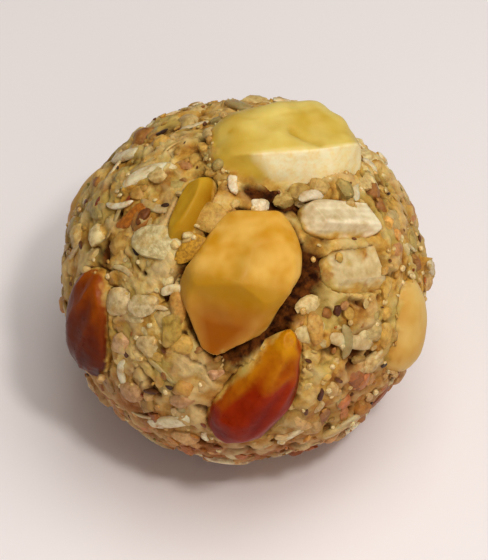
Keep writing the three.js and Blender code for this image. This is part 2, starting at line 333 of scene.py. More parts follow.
ball_curve = true_reach(ways_out)
socket_floor = ball_curve - SOCKET_DEPTH
rolled_reach = np.array([reach_of(mass_tree, way) for way in ways_out])
in_air = np.array([reach_of(fruit_tree, way) for way in ways_out]) < rolled_reach
rolled_reach = np.maximum(rolled_reach, socket_floor)
crept_reach = highest_near(np.where(in_air, rolled_reach, 0), ball_edges, CREEP_STEPS)
crept_reach = -highest_near(np.where(in_air, -crept_reach, -BALL_WIDTH), ball_edges, CREEP_STEPS)
rolled_reach = np.where(in_air, np.maximum(rolled_reach, crept_reach - CREEP_SHORT), rolled_reach)
tears = tear_depth(ways_out)
rolled_reach = np.minimum(rolled_reach, np.maximum(rolled_reach - tears, socket_floor))
rolled_points = ball_middle + ways_out * rolled_reach[:, None]
torn_open = fade(ball_curve - rolled_reach, TORN_FROM, TORN_TO)
lumps = relief(rolled_points, PASTE_LUMPS) + torn_open * relief(rolled_points, CLODS)
pits = fade(-soft_noise(rolled_points, PIT_SIZE), *PIT_LEVELS)
cracked = fade(soft_noise(rolled_points, CRACKED_SIZE), *CRACKED_LEVELS)
waver = np.stack([soft_noise(rolled_points + field, WAVER_SIZE) for field in WAVER_FIELDS], axis=1)
from_crack = np.abs(soft_noise(rolled_points + waver * WAVER, CRACK_SIZE))
cracks = cracked * fade(-from_crack, *CRACK_LEVELS)
paste_reach = rolled_reach - PASTE_RECESS + lumps - pits * PIT_DEPTH - cracks * CRACK_DEPTH
paste_points = ball_middle + ways_out * paste_reach[:, None]
paste_points[:, 2] = np.maximum(paste_points[:, 2], 0)

paste = mesh_piece("rolled_paste", paste_points, ball_faces)
# How deep the paste lies: deeper paste is rougher and is darkened with painted shade
in_hollow = fade(ball_curve - paste_reach, SHADE_FROM, SHADE_TO)
between_lumps = np.clip(-lumps / (0.75 * MM) - 0.1, 0, 0.55)
deepness = in_hollow + between_lumps + 0.5 * pits + 0.35 * cracks + 0.5 * tears / MM
note(paste, "depth", np.clip(deepness, 0, 1))
# Painted light: paler where the paste's lumps stand out, where light falls on them
note(paste, "pale", np.clip(lumps / (0.8 * MM), 0, 0.7) * (1 - torn_open))
note_low_bounce_shade(paste, paste_points)

paste_finish, paste_shader = start_finish(
    "nut paste", Specular_IOR_Level=0.12, Subsurface_Weight=0.12, Subsurface_Scale=0.7 * MM)
vary_gloss(paste_finish, paste_shader, kept(paste_finish, "depth"), low=0.52, high=0.95, start=0, end=0.6)
roughen(paste_finish, paste_shader, across=0.3 * MM, depth=0.14 * MM)
# Painted shade: deep paste goes over to dark tones
deep_shade_share = share_between(paste_finish, kept(paste_finish, "depth"), 0.1, 1)
deep_shaded_paste = tones(paste_finish, grain(paste_finish, 1 * MM), DEEP_SHADE_TONES)
lump_lit_paste = blend_colours(
    paste_finish, kept(paste_finish, "pale"), paste_colour(paste_finish), paint(*PASTE_LUMP_LIGHT))
colour_by(paste_finish, paste_shader, blend_colours(paste_finish, deep_shade_share, lump_lit_paste, deep_shaded_paste))
paste.data.materials.append(paste_finish)
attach(paste, "root")
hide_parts("ladoo_mass")

# Broken nuts: cashew, almond and melon seed crushed to crumbs a few millimetres across and to coarse meal.
# They are stirred through the paste, and rolling presses those at the surface flush with it and smears
# paste over them, so that only parts of their flattened tops show.
CRUMB_COUNT = 116
CRUMB_SIZE = (2.8 * MM, 5.6 * MM)
CRUMB_FLATNESS = 0.7
CRUMB_PROUD = (0.4 * MM, 0.8 * MM)
CLEARANCE = 0.8 * MM
BARE_HEIGHT = 0.6 * MM
NUDGE = 0.3
# The solid's own crumbs and shreds come from the first seed, with this many draws for the corners of each
# crumb, and the large ones here follow it to lie in the same places. All else comes from the second.
DRAW_SEED = 20
CORNER_DRAWS = 12
CHANCE_SEED = 7
GOLDEN_ANGLE = math.pi * (3 - math.sqrt(5))
CHIP_COUNT = 620
CHIP_SIZE = (1.6 * MM, 4.2 * MM)
MEAL_COUNT = 700
MEAL_SIZE = (0.5 * MM, 1.2 * MM)
# Halves of a bit's length, width and depth as shares of its size, before it is broken by so many flat faces
CRUMB_HALVES, CRUMB_BREAKS = (0.58, 0.5, 0.6), 14
SHOWN_HALVES, SHOWN_BREAKS = (0.58, 0.58, 0.5), 12
CHIP_LENGTH, CHIP_WIDTH, CHIP_DEPTH, CHIP_BREAKS = 0.66, (0.3, 0.6), 0.36, 9
BREAK_REACH = (0.55, 0.95)
# How deep the middle of a bit lies as a share of its size, how far the palm leaves crumbs out of the mass,
# and the share of a crumb's size within which no smaller bit lies
SHOWN_SINK, CHIP_SINK, MEAL_SINK = 0.2, (0.15, 0.5), (0.1, 0.5)
FLUSH, SHOWN_STAND = 0.05 * MM, 0.4 * MM
CRUMB_COVER = 0.42
CRUMB_EDGE = math.radians(38)
MEAL_EDGE = math.radians(50)
# Nothing is laid where the mass is lower than this below the ball's curve, or torn open further than this
HOLLOW_DEPTH = 2.3 * MM
TORN_DEPTH = 0.35 * MM
# Share of a bit's stand above the palm's curve that it keeps, and the depths between which it goes dark with
# painted shade
PALM_GIVE = 0.2
HOLLOW_SHADE_FROM, HOLLOW_SHADE_TO = 0.5 * MM, 2.1 * MM
TINT_RANGE = (0.82, 1.1)
# Tones of the broken nuts, each with its share of them
NUT_TONES = (
    (0.3, (220, 190, 122)),
    (0.16, (214, 168, 76)),
    (0.16, (236, 214, 152)),
    (0.12, (194, 146, 64)),
    (0.06, (166, 108, 42)),
    (0.14, (184, 160, 90)),
    (0.05, (198, 140, 82)),
)
# Painted floor reflection and painted shade that the nuts take low on the ball
NUT_LOW_BOUNCE_SHADE = (238, 182, 136)
# Crumbs that the front shows: longitude, latitude and spin in degrees, length and width, and tone
SHOWN_CRUMBS = (
    (-47, 51.8, 24, 7.6 * MM, 4.8 * MM, (226, 208, 152)),
    (-50.5, 28.8, 70, 4 * MM, 3.4 * MM, (222, 196, 142)),
    (-40.4, 33.6, 20, 4.2 * MM, 3 * MM, (224, 200, 148)),
    (-43.6, 16.3, 50, 3.6 * MM, 3 * MM, (216, 174, 126)),
    (-34.1, 21.7, 10, 3.6 * MM, 2.8 * MM, (212, 184, 126)),
    (-27.2, 31.3, 85, 5 * MM, 3 * MM, (188, 154, 64)),
    (-37.7, -0.3, 30, 3.6 * MM, 2.8 * MM, (206, 174, 126)),
    (-19.2, 7.3, 60, 3.4 * MM, 2.8 * MM, (208, 168, 118)),
    (-19.6, -14.1, 0, 3.6 * MM, 2.4 * MM, (220, 195, 140)),
    (-27, 38, 108, 4 * MM, 2 * MM, (206, 150, 64)),
    (17, 74, 0, 2.4 * MM, 2 * MM, (246, 232, 196)),
    (26, 30, 80, 4.6 * MM, 2 * MM, (208, 154, 66)),
    (84, 37, 0, 2 * MM, 1.6 * MM, (240, 180, 90)),
    (80, 33, 40, 1.6 * MM, 1.3 * MM, (236, 168, 84)),
    (40, 3, 30, 3 * MM, 2.2 * MM, (214, 150, 92)),
    (33, -2, 60, 2.6 * MM, 1.8 * MM, (210, 140, 84)),
    (-10, 18, 30, 2.4 * MM, 1.6 * MM, (226, 184, 140)),
    (45, 8, 10, 3 * MM, 2 * MM, (216, 200, 138)),
    (55, 72.5, -20, 3.6 * MM, 2.6 * MM, (196, 164, 92)),
    (68, 69.5, -50, 3.6 * MM, 2.8 * MM, (180, 146, 72)),
    (80, 64.5, -70, 3.2 * MM, 2.4 * MM, (204, 170, 100)),
)


def seeded_draws(seed):
    """The same draws every time, each from 0 up to 1."""
    word = 2 ** 32
    state = seed
    while True:
        state = (state + 0x6D2B79F5) % word
        mixed = (state ^ state >> 15) * (state | 1) % word
        mixed ^= (mixed + (mixed ^ mixed >> 7) * (mixed | 61)) % word
        yield (mixed ^ mixed >> 14) / word


def scattered_places(count, draw):
    """Evenly spread longitudes and latitudes on the ball, each nudged a little."""
    spacing = math.sqrt(4 * math.pi / count)
    places = []
    for i in range(count):
        lat = math.asin(1 - (2 * i + 1) / count) + spacing * NUDGE * (draw() - 0.5)
        lon = i * GOLDEN_ANGLE + spacing * NUDGE * (draw() - 0.5) / math.cos(lat)
        places.append((lon, lat))
    return places


def sized(share, limits, small_bias=1):
    """A size between two limits for a share from 0 to 1, with more small ones the higher the bias."""
    return np.interp(share ** small_bias, (0, 1), limits)


def seat(lon, lat, spin):
    """Directions along, across and out of the ball for what lies at a place."""
    out = way_to(lon, lat)
    east = np.array((math.cos(lon), math.sin(lon), 0))
    along = east * math.cos(spin) + np.cross(out, east) * math.sin(spin)
    return np.array((along, np.cross(out, along), out))


def round_shape(subdivisions):
    """Points and faces of a small ball of radius 1."""
    shape = bmesh.new()
    bmesh.ops.create_icosphere(shape, subdivisions=subdivisions, radius=1)
    points = np.array([v.co for v in shape.verts])
    faces = np.array([[v.index for v in f.verts] for f in shape.faces])
    shape.free()
    return points, faces


def broken(points, chance, facets):
    """A ball of points cut by flat breaks on all sides."""
    breaks = chance.normal(size=(facets, 3))
    breaks /= np.linalg.norm(breaks, axis=1)[:, None]
    cut = chance.uniform(*BREAK_REACH, facets) / np.maximum(points @ breaks.T, 0.2)
    return points * np.minimum(cut.min(axis=1), 1)[:, None]


def pressed(points, out, palm_reach):
    """Points that stand out of the palm's curve at a place are pressed back, but for a little give."""
    away = points - ball_middle
    reach = np.linalg.norm(away, axis=1)
    ways = away / reach[:, None]
    palm = palm_reach + true_reach(ways) - true_reach(out)
    reach -= np.maximum(reach - palm, 0) * (1 - PALM_GIVE)
    flat = ball_middle + ways * reach[:, None]
    flat[:, 2] = np.maximum(flat[:, 2], 0)
    return flat


def new_heap():
    return {"points": [], "faces": [], "tints": [], "count": 0}


def drop(heap, points, faces, tint):
    """Adds one bit to a heap of like bits, with nothing of it below the floor."""
    points[:, 2] = np.maximum(points[:, 2], 0)
    heap["points"].append(points)
    heap["faces"].append(faces + heap["count"])
    heap["tints"].append(np.tile(tint, (len(points), 1)))
    heap["count"] += len(points)


def heap_piece(name, heap, finish, sharp_angle=None):
    """All the bits of a heap as one piece that rides with the ladoo."""
    points = np.concatenate(heap["points"])
    piece = mesh_piece(name, points, np.concatenate(heap["faces"]).tolist(), sharp_angle)
    tint = piece.data.color_attributes.new("tint", "FLOAT_COLOR", "POINT")
    tint.data.foreach_set("color", np.concatenate(heap["tints"]).astype(np.float32).ravel())
    note_low_bounce_shade(piece, points)
    piece.data.materials.append(finish)
    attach(piece, "root")


def pick_tint(chance, palette):
    """One of some tones, by its share, a little lighter or darker."""
    shares = np.array([share for share, _ in palette])
    colour = palette[chance.choice(len(palette), p=shares / shares.sum())][1]
    light = chance.uniform(*TINT_RANGE)
    return np.array(paint(*colour)) * (light, light, light, 1)


def shaded_in_hollow(tint, out, reach):
    """A bit's tint, darkened with painted shade the deeper it lies in a hollow."""
    dry = 1 - 0.55 * fade(true_reach(out) - reach, HOLLOW_SHADE_FROM, HOLLOW_SHADE_TO)
    return np.array(tint) * (dry, dry ** 1.3, dry ** 1.6, 1)


def open_reach(out):
    """How far the mass reaches where it is open to the air, or 0 under or beside dry fruit."""
    reach = reach_of(mass_tree, out)
    covered = reach_of(fruit_tree, out) > reach or tear_depth(out[None])[0] > TORN_DEPTH
    return 0 if covered or reach < true_reach(out) - HOLLOW_DEPTH else reach


def to_fruit(place):
    """Distance from a place to the nearest dry fruit."""
    return np.linalg.norm(fruit_points - place, axis=1).min()


def room_at(place):
    """How far a bit may reach from its middle, clear of the dry fruit and the floor."""
    return min(to_fruit(place) - CLEARANCE, place[2] - BARE_HEIGHT)


def shown_seat(lon, lat, spin):
    """Directions and reach for a bit that the front shows, which may also lie beside dry fruit."""
    axes = seat(*np.radians((lon, lat, spin)))
    return axes, open_reach(axes[2]) or true_reach(axes[2])


def food_finish(name, patches, rough, pores, pore_depth, **even):
    """A finish with patches that are more and less rough and with fine pores, of the sizes given."""
    finish, shader = start_finish(name, **even)
    vary_gloss(finish, shader, grain(finish, patches), *rough)
    roughen(finish, shader, pores, pore_depth)
    return finish, shader


def mottled(finish, colour, across, shade, dark=0.3, light=0.6):
    """A colour with shaded patches of about that size, between two levels of their noise."""
    patches = tones(finish, grain(finish, across), ((dark, shade), (light, (255, 255, 255))))
    return blend_colours(finish, 1.0, colour, patches, "MULTIPLY")


chance = np.random.default_rng(CHANCE_SEED)
draw = seeded_draws(DRAW_SEED).__next__
fruit_points = np.array([v.co for name in fruit_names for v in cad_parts[name].data.vertices])
coarse_shape, coarse_faces = round_shape(3)
small_shape, small_faces = round_shape(2)
crumb_heap, meal_heap = new_heap(), new_heap()
crumb_places = []

for lon, lat in scattered_places(CRUMB_COUNT, draw):
    axes = seat(lon, lat, 2 * math.pi * draw())
    across = sized(draw(), CRUMB_SIZE, small_bias=2)
    for _ in range(CORNER_DRAWS):
        draw()
    proud = sized(draw(), CRUMB_PROUD)
    reach = open_reach(axes[2])
    if reach:
        place = ball_middle + axes[2] * (reach - proud)
        across = min(across, 2 * room_at(place))
        if across >= CRUMB_SIZE[0]:
            height = CRUMB_FLATNESS * across
            local = broken(coarse_shape, chance, CRUMB_BREAKS)
            local *= np.multiply(CRUMB_HALVES, (across, across, height))
            points = place + axes[2] * (proud - height / 2) + local @ axes
            points = pressed(points, axes[2], reach + FLUSH)
            drop(crumb_heap, points, coarse_faces, pick_tint(chance, NUT_TONES))
            crumb_places.append((*place, across))

for lon, lat, spin, length, width, tone in SHOWN_CRUMBS:
    axes, reach = shown_seat(lon, lat, spin)
    place = ball_middle + axes[2] * (reach - SHOWN_SINK * width)
    local = broken(coarse_shape, chance, SHOWN_BREAKS) * np.multiply(SHOWN_HALVES, (length, width, width))
    points = pressed(place + local @ axes, axes[2], reach + SHOWN_STAND)
    drop(crumb_heap, points, coarse_faces, paint(*tone))
    crumb_places.append((*place, width))

crumb_places = np.array(crumb_places)


def scatter_bits(heap, count, sizes, sink):
    """Small broken bits all over the ball, but not on the larger crumbs or the dry fruit."""
    for lon, lat in scattered_places(count, chance.random):
        axes = seat(lon, lat, chance.uniform(0, 2 * math.pi))
        reach = open_reach(axes[2])
        across = sized(chance.random(), sizes, small_bias=1.6)
        tint = pick_tint(chance, NUT_TONES)
        local = broken(small_shape, chance, CHIP_BREAKS)
        local *= (across * CHIP_LENGTH, across * chance.uniform(*CHIP_WIDTH), across * CHIP_DEPTH)
        deep = across * chance.uniform(*sink)
        place = ball_middle + axes[2] * (reach - deep)
        gaps = np.linalg.norm(crumb_places[:, :3] - place, axis=1) - crumb_places[:, 3] * CRUMB_COVER
        if reach and gaps.min() > 0:
            tint = shaded_in_hollow(tint, axes[2], reach)
            drop(heap, pressed(place + local @ axes, axes[2], reach), small_faces, tint)


scatter_bits(crumb_heap, CHIP_COUNT, CHIP_SIZE, CHIP_SINK)
scatter_bits(meal_heap, MEAL_COUNT, MEAL_SIZE, MEAL_SINK)

nut_finish, nut_shader = food_finish(
    "broken nut", patches=1.2 * MM, rough=(0.4, 0.62), pores=0.25 * MM, pore_depth=0.1 * MM,
    Specular_IOR_Level=0.35, Subsurface_Weight=0.12, Subsurface_Scale=0.8 * MM)
clean_nut = mottled(nut_finish, kept(nut_finish, "tint", "Color"), 0.7 * MM, (200, 186, 160))
# Low on the ball the nuts take painted floor reflection and painted shade
clean_nut = blend_colours(nut_finish, kept(nut_finish, "low_bounce_shade"), clean_nut, paint(*NUT_LOW_BOUNCE_SHADE), "MULTIPLY")
smear = share_between(nut_finish, grain(nut_finish, 1.6 * MM, detail=4), 0.49, 0.63, 0.6)
colour_by(nut_finish, nut_shader, blend_colours(nut_finish, smear, clean_nut, paste_colour(nut_finish)))
heap_piece("nut_crumbs", crumb_heap, nut_finish, CRUMB_EDGE)
heap_piece("nut_meal", meal_heap, nut_finish, MEAL_EDGE)

# Coconut shreds: dry coconut grated into thin ivory strips a few millimetres long.
# They lie every way in the paste, rolled flat along the curve of the ball, most of them stained by it.
SHRED_COUNT = 46
SHRED_LENGTH = (4.5 * MM, 9 * MM)
SHRED_WIDTH = 1.8 * MM
SHRED_THICKNESS = 0.9 * MM
SHRED_BOW = (-0.5 * MM, 0.5 * MM)
FINE_SHRED_COUNT = 170
FINE_SHRED_LENGTH = (2.2 * MM, 6 * MM)
FINE_SHRED_WIDTH = (0.5 * MM, 1.4 * MM)
FINE_SHRED_BOW = (-0.6 * MM, 0.6 * MM)
# Thickness of the fine shreds and of those that the front shows as a share of their width, and the share
# of its thickness by which each kind stands out
FINE_SHRED_FLATNESS, SHOWN_SHRED_FLATNESS = 0.5, 0.6
SHRED_PROUD, FINE_SHRED_PROUD, SHOWN_SHRED_PROUD = 0.05, (-0.2, 0.2), 0.4
# Tones of the shreds, each with its share of them
SHRED_TONES = (
    (0.3, (240, 226, 186)),
    (0.3, (226, 200, 146)),
    (0.2, (206, 176, 112)),
    (0.2, (184, 162, 104)),
)
# Shreds that the front shows: longitude, latitude and spin in degrees, length, width, bow and tone
SHOWN_SHREDS = (
    (-17, 82, 105, 3.8 * MM, 1.2 * MM, 0.5 * MM, (248, 238, 210)),
    (-83, 48, 60, 4.8 * MM, 0.8 * MM, -0.6 * MM, (244, 232, 200)),
    (-31, 42, 35, 3 * MM, 1.2 * MM, 0.2 * MM, (240, 224, 180)),
    (62, 66, -40, 3.4 * MM, 1.3 * MM, 0.3 * MM, (222, 208, 176)),
    (72, -6, 70, 4.5 * MM, 1.2 * MM, 0.2 * MM, (224, 186, 100)),
)


def strip(length, width, thickness, bow, steps=10, sides=8):
    """A thin strip with rounded edges and narrowing ends, bowed sideways, laid along the ball."""
    turn = (np.arange(sides) + 0.5) * 2 * math.pi / sides
    edge, face = (np.sign(v) * np.abs(v) ** 0.6 for v in (np.cos(turn), np.sin(turn)))
    rings = []
    for along in np.linspace(-1, 1, steps + 1):
        full = math.sqrt(max(1 - abs(along) ** 4, 0.03))
        x = np.full(sides, along * length / 2)
        y = edge * full * width / 2 + bow * (1 - along ** 2)
        z = face * full * thickness / 2 - (along * length / 2) ** 2 / BALL_WIDTH
        rings.append(np.stack((x, y, z), axis=1))
    faces = []
    for i in range(steps):
        for j in range(sides):
            a, b = i * sides + j, i * sides + (j + 1) % sides
            faces += [[a, b, b + sides], [a, b + sides, a + sides]]
    last = steps * sides
    for j in range(1, sides - 1):
        faces += [[0, j + 1, j], [last, last + j, last + j + 1]]
    return np.concatenate(rings), np.array(faces)


def lay_shred(axes, reach, size, bow, tint, proud):
    """One shred on the ball, its top standing out by a share of its thickness."""
    length, width, thickness = size
    local, faces = strip(length, width, thickness, bow)
    place = ball_middle + axes[2] * (reach + (proud - 0.5) * thickness)
    drop(shred_heap, place + local @ axes, faces, tint)


shred_heap = new_heap()
for lon, lat in scattered_places(SHRED_COUNT, draw):
    axes = seat(lon, lat, 2 * math.pi * draw())
    length = sized(draw(), SHRED_LENGTH)
    reach = open_reach(axes[2])
    tint, bow = pick_tint(chance, SHRED_TONES), chance.uniform(*SHRED_BOW)
    if reach:
        length = min(length, 2 * room_at(ball_middle + axes[2] * reach))
        if length >= SHRED_LENGTH[0]:
            lay_shred(axes, reach, (length, SHRED_WIDTH, SHRED_THICKNESS), bow, tint, SHRED_PROUD)

for lon, lat in scattered_places(FINE_SHRED_COUNT, chance.random):
    axes = seat(lon, lat, chance.uniform(0, 2 * math.pi))
    reach = open_reach(axes[2])
    length, width = chance.uniform(*FINE_SHRED_LENGTH), chance.uniform(*FINE_SHRED_WIDTH)
    tint, bow = pick_tint(chance, SHRED_TONES), chance.uniform(*FINE_SHRED_BOW)
    proud = chance.uniform(*FINE_SHRED_PROUD)
    if reach and to_fruit(ball_middle + axes[2] * reach) > length / 2:
        lay_shred(axes, reach, (length, width, FINE_SHRED_FLATNESS * width), bow, tint, proud)

for lon, lat, spin, length, width, bow, tone in SHOWN_SHREDS:
    axes, reach = shown_seat(lon, lat, spin)
    size = (length, width, SHOWN_SHRED_FLATNESS * width)
    lay_shred(axes, reach, size, bow, paint(*tone), SHOWN_SHRED_PROUD)

shred_finish, shred_shader = food_finish(
    "dry coconut", patches=1.2 * MM, rough=(0.36, 0.55), pores=0.3 * MM, pore_depth=0.07 * MM,
    Specular_IOR_Level=0.35, Subsurface_Weight=0.2, Subsurface_Scale=1 * MM)
shred_tint = kept(shred_finish, "tint", "Color")
clean_shred = mottled(shred_finish, shred_tint, 1.1 * MM, (222, 206, 176), light=0.65)
stain = share_between(shred_finish, grain(shred_finish, 1.5 * MM, detail=4), 0.48, 0.64, 0.7)
stained_shred = blend_colours(shred_finish, stain, clean_shred, paste_colour(shred_finish))
colour_by(shred_finish, shred_shader, stained_shred)
heap_piece("coconut_shreds", shred_heap, shred_finish)

# Poppy seeds: tiny pale beads, roasted and stirred in whole.
# They shine with ghee and catch the light as bright points, more of them in some places than in others.
SEED_COUNT = 900
SEED_SIZE = 0.8 * MM
SEED_SCALE = (0.8, 1.1)
SEED_SHAPE = (1, 0.85, 0.8)
SEED_SINK = (0.05 * MM, 0.35 * MM)
# How closely their clusters follow each other over the ball, and the levels at which they thin out
CLUSTER_SPREAD, CLUSTER_LEVELS = 3.2, (-0.05, 0.6)
# Tones of the seeds, each with its share of them
SEED_TONES = ((0.6, (238, 212, 150)), (0.4, (222, 182, 104)))
# Single large beads that the front shows: longitude and latitude in degrees
SHOWN_SEEDS = ((24, 37), (-18, 17), (27, 8), (-58, 67), (-32, 24), (50, 20), (12, -12), (-25, 8))
SHOWN_SEED_SCALE = 1.25

seed_heap = new_heap()
seed_places = [(*np.radians(place), SHOWN_SEED_SCALE) for place in SHOWN_SEEDS]
for lon, lat in scattered_places(SEED_COUNT, chance.random):
    cluster = noise.noise(Vector(way_to(lon, lat) * CLUSTER_SPREAD))
    if cluster > chance.uniform(*CLUSTER_LEVELS):
        seed_places.append((lon, lat, chance.uniform(*SEED_SCALE)))
for lon, lat, size in seed_places:
    axes = seat(lon, lat, chance.uniform(0, 2 * math.pi))
    reach = open_reach(axes[2])
    place = ball_middle + axes[2] * (reach - chance.uniform(*SEED_SINK))
    tint = pick_tint(chance, SEED_TONES)
    local = small_shape * SEED_SIZE / 2 * size * SEED_SHAPE
    if reach:
        drop(seed_heap, place + local @ axes, small_faces, tint)

seed_finish, seed_shader = food_finish(
    "poppy seed", patches=0.4 * MM, rough=(0.18, 0.34), pores=0.15 * MM, pore_depth=0.02 * MM,
    Specular_IOR_Level=0.6, Subsurface_Weight=0.15, Subsurface_Scale=0.4 * MM)
seed_tint = kept(seed_finish, "tint", "Color")
colour_by(seed_finish, seed_shader, mottled(seed_finish, seed_tint, 0.3 * MM, (210, 196, 170), dark=0.35))
heap_piece("poppy_seeds", seed_heap, seed_finish)

# Flecks: bits of almond, cashew and raisin skin, cardamom and pistachio ground in with the rest.
# They are thin, lie flat in the paste, and give the pale ball its brown, rust and olive freckles.
FLECK_COUNT = 200
FLECK_SIZE = (0.4 * MM, 1.4 * MM)
FLECK_THICKNESS = 0.22 * MM
FLAKE_THICKNESS = 0.7 * MM
# Halves of their length and width as shares of their size, how many faces break them, and how deep they lie
FLECK_HALVES, FLAKE_HALVES = (0.65, 0.35), (0.55, 0.55)
FLECK_BREAKS = 8
FLECK_SINK, FLAKE_SINK = (0, 0.2 * MM), 0.2 * MM
FLAKE_STAND = 0.2 * MM
# Tones of the flecks, each with its share of them
FLECK_TONES = (
    (0.5, (112, 62, 22)),
    (0.16, (150, 70, 22)),
    (0.14, (70, 40, 16)),
    (0.12, (140, 126, 56)),
    (0.08, (196, 116, 44)),
)
# Larger flakes that the front shows: longitude, latitude and spin in degrees, length and width, and tone
SHOWN_FLAKES = (
    (-72, 50.5, 80, 4.6 * MM, 2.4 * MM, (186, 108, 24)),
    (-66, 54, 100, 2.4 * MM, 1.2 * MM, (120, 66, 20)),
    (37, 33, 60, 1.6 * MM, 0.9 * MM, (88, 44, 16)),
    (24, 8, 80, 1.8 * MM, 0.8 * MM, (84, 40, 14)),
    (-30, 6, 20, 2 * MM, 0.6 * MM, (92, 52, 18)),
    (-30.5, 56.8, 68, 5 * MM, 2.2 * MM, (206, 150, 40)),
)

fleck_heap = new_heap()
for lon, lat in scattered_places(FLECK_COUNT, chance.random):
    axes = seat(lon, lat, chance.uniform(0, 2 * math.pi))
    reach = open_reach(axes[2])
    across = sized(chance.random(), FLECK_SIZE, small_bias=2)
    tint = pick_tint(chance, FLECK_TONES)
    local = broken(small_shape, chance, FLECK_BREAKS)
    local *= (*np.multiply(FLECK_HALVES, across), FLECK_THICKNESS)
    place = ball_middle + axes[2] * (reach - chance.uniform(*FLECK_SINK))
    if reach:
        points = pressed(place + local @ axes, axes[2], reach + FLUSH)
        drop(fleck_heap, points, small_faces, tint)
for lon, lat, spin, length, width, tone in SHOWN_FLAKES:
    axes, reach = shown_seat(lon, lat, spin)
    local = broken(coarse_shape, chance, FLECK_BREAKS)
    local *= (*np.multiply(FLAKE_HALVES, (length, width)), FLAKE_THICKNESS)
    place = ball_middle + axes[2] * (reach - FLAKE_SINK)
    points = pressed(place + local @ axes, axes[2], reach + FLAKE_STAND)
    drop(fleck_heap, points, coarse_faces, paint(*tone))

fleck_finish, fleck_shader = food_finish(
    "ground skins", patches=0.6 * MM, rough=(0.4, 0.62), pores=0.25 * MM, pore_depth=0.06 * MM,
    Specular_IOR_Level=0.3)
fleck_tint = kept(fleck_finish, "tint", "Color")
colour_by(fleck_finish, fleck_shader, mottled(fleck_finish, fleck_tint, 0.4 * MM, (180, 170, 160)))
heap_piece("skin_flecks", fleck_heap, fleck_finish, CRUMB_EDGE)

# Cashews: halves, broken ends and one whole kernel, roasted golden in ghee.
# They are pressed into the ball as it is rolled, so they stand in sockets of paste, and a broken
# face is paler than the smooth outside. The half at the front has a ridge across its middle.
SWELL = 0.12 * MM
CASHEW_DENTS = ((6 * MM, 0.3 * MM), (2.2 * MM, 0.1 * MM), (0.7 * MM, 0.03 * MM))
CASHEW_LINES, LINE_RISE = (1.1 * MM, 9 * MM), 0.06 * MM
RIDGE_RISE = 0.3 * MM
GROOVE_DEPTH = 0.5 * MM
# Paste smudges what lies below this height over the ball's curve, in patches of these sizes and strengths
RIM_HEIGHT = -0.1 * MM
SMUDGE_PATCHES = ((1.8 * MM, 0.5), (0.7 * MM, 0.4))
SMUDGE_RISE = 0.1 * MM
# Tones of each, where it is roasted most or painted in shade, where it is golden and where it is pale
CASHEW_TONES = {
    "cashew_front": ((160, 84, 0), (206, 144, 26), (238, 194, 100)),
    "cashew_sliver": ((150, 96, 2), (190, 138, 18), (212, 172, 50)),
    "cashew_top": ((186, 144, 30), (210, 178, 72), (230, 208, 118)),
    "cashew_right": ((186, 122, 30), (208, 160, 74), (222, 190, 114)),
    "cashew_back": ((180, 104, 6), (208, 148, 42), (224, 176, 86)),
    "cashew_half": ((182, 110, 10), (210, 156, 50), (226, 184, 94)),
}
CUT_TONES = ((0.3, (250, 222, 152)), (0.6, (252, 240, 194)))
# Tone of the painted shade in the seams between facets and in grooves
SEAM_SHADE_TONE = (174, 124, 0)
# Flat breaks on the front half and on the narrow strip beside it: their lean along, across and out of the
# piece, and how far out they lie
CASHEW_BREAKS = {
    "cashew_front": (
        (-0.74, -0.05, 0.66, 0.53),
        (0.34, 0.34, 0.88, 0.7),
        (0.36, -0.42, 0.83, 0.71),
        (-0.78, 0.62, 0, 0.86),
        (0.32, 0.95, 0, 0.85),
        (-0.26, -0.97, 0, 0.85),
        (-0.82, -0.57, 0, 0.84),
    ),
    "cashew_sliver": (
        (0, 0.3, 0.95, 0.78),
        (0.93, 0.3, 0.2, 0.88),
        (-0.9, -0.3, 0.3, 0.9),
    ),
}
# How a solid is made fine: points this close are one, facets within these angles become squares, a crisp
# edge is this crisp, and each square is halved this often
MERGED_WITHIN = 0.002 * MM
FLAT_WITHIN, SQUARE_WITHIN = 0.7, 1.2
CRISPNESS = 0.75
HALVINGS = 3
# Only the one at the top broke so cleanly that its edges stay crisp
CRISP_FROM = {"cashew_top": math.radians(48)}
# The way that its broken face and its right end look, and the crease, bump and dent in its skin, counted from
# its middle to the right and to the back
TOP_CUT_WAY = (0.19, -0.855, 0.48)
TOP_END_WAY = (0.84, -0.48, 0.25)
TOP_CREASE = ((1.1 * MM, -0.3 * MM), (4.4 * MM, -1.4 * MM))
TOP_BUMP = (-0.2 * MM, 3.3 * MM)
TOP_DENT = (3 * MM, 1 * MM)


def smooth_copy(name, crisp_from=None):
    """A finely divided copy of a solid, rounded but for edges sharper than an angle."""
    shape = bmesh.new()
    shape.from_mesh(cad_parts[name].data)
    bmesh.ops.remove_doubles(shape, verts=shape.verts[:], dist=MERGED_WITHIN)
    bmesh.ops.join_triangles(
        shape, faces=shape.faces[:], angle_face_threshold=FLAT_WITHIN, angle_shape_threshold=SQUARE_WITHIN)
    if crisp_from is not None:
        crease = shape.edges.layers.float.new("crease_edge")
        for edge in shape.edges:
            edge[crease] = CRISPNESS if edge.calc_face_angle(0) > crisp_from else 0
    mesh = bpy.data.meshes.new(name + "_piece")
    shape.to_mesh(mesh)
    shape.free()
    piece = bpy.data.objects.new(name + "_piece", mesh)
    bpy.context.scene.collection.objects.link(piece)
    rounding = piece.modifiers.new("rounding", "SUBSURF")
    rounding.levels = HALVINGS
    rounded = piece.evaluated_get(bpy.context.evaluated_depsgraph_get())
    piece.data = bpy.data.meshes.new_from_object(rounded)
    piece.modifiers.clear()
    piece.data.materials.clear()
    piece.data.shade_smooth()
    return piece


def points_of(piece):
    points = np.empty(len(piece.data.vertices) * 3, np.float32)
    piece.data.vertices.foreach_get("co", points)
    return points.reshape(-1, 3).astype(float)


